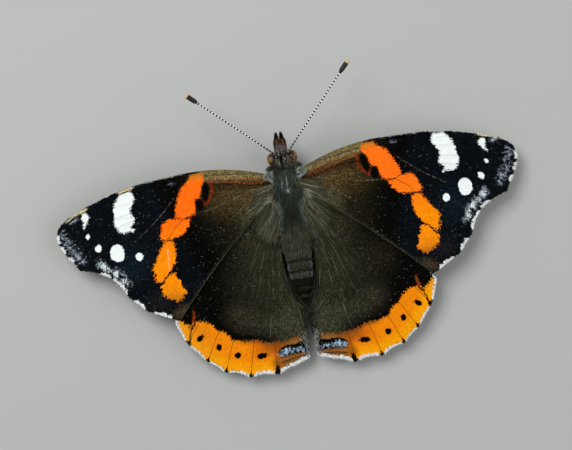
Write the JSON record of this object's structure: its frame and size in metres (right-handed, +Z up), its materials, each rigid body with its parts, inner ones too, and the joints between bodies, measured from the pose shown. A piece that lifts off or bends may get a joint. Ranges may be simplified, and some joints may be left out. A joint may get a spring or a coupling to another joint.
{
  "type": "red admiral butterfly model",
  "caption": "Still, life-size butterfly resting on its feet, wings spread flat, feelers raised in a wide V.",
  "frame": {"origin": "on the floor under the middle of the model's box, with the feet at z = 0", "axes": "+X to the right wing, +Y the way the head points, +Z up"},
  "size_m": [0.0708, 0.045, 0.0094],
  "materials": {
    "body_hair": "fine dark grey-brown hair with an olive cast",
    "wing_scales": "velvety black-brown scales with orange bands, white marks and a white fringe",
    "eye": "smooth amber-brown, slightly glossy",
    "feeler": "black ringed with white, cream tip to the club",
    "leg": "buff-brown, finely scaled"
  },
  "bodies": {
    "root": {"thorax": "body_hair", "abdomen": "body_hair", "head": "body_hair", "eye_left": "eye", "eye_right": "eye", "palp_left": "body_hair", "palp_right": "body_hair", "antenna_left": "feeler", "antenna_right": "feeler", "forewing_left": "wing_scales", "forewing_right": "wing_scales", "hindwing_left": "wing_scales", "hindwing_right": "wing_scales", "leg_fore_left": "leg", "leg_fore_right": "leg", "leg_mid_left": "leg", "leg_mid_right": "leg", "leg_hind_left": "leg", "leg_hind_right": "leg"}
  },
  "joints": []
}
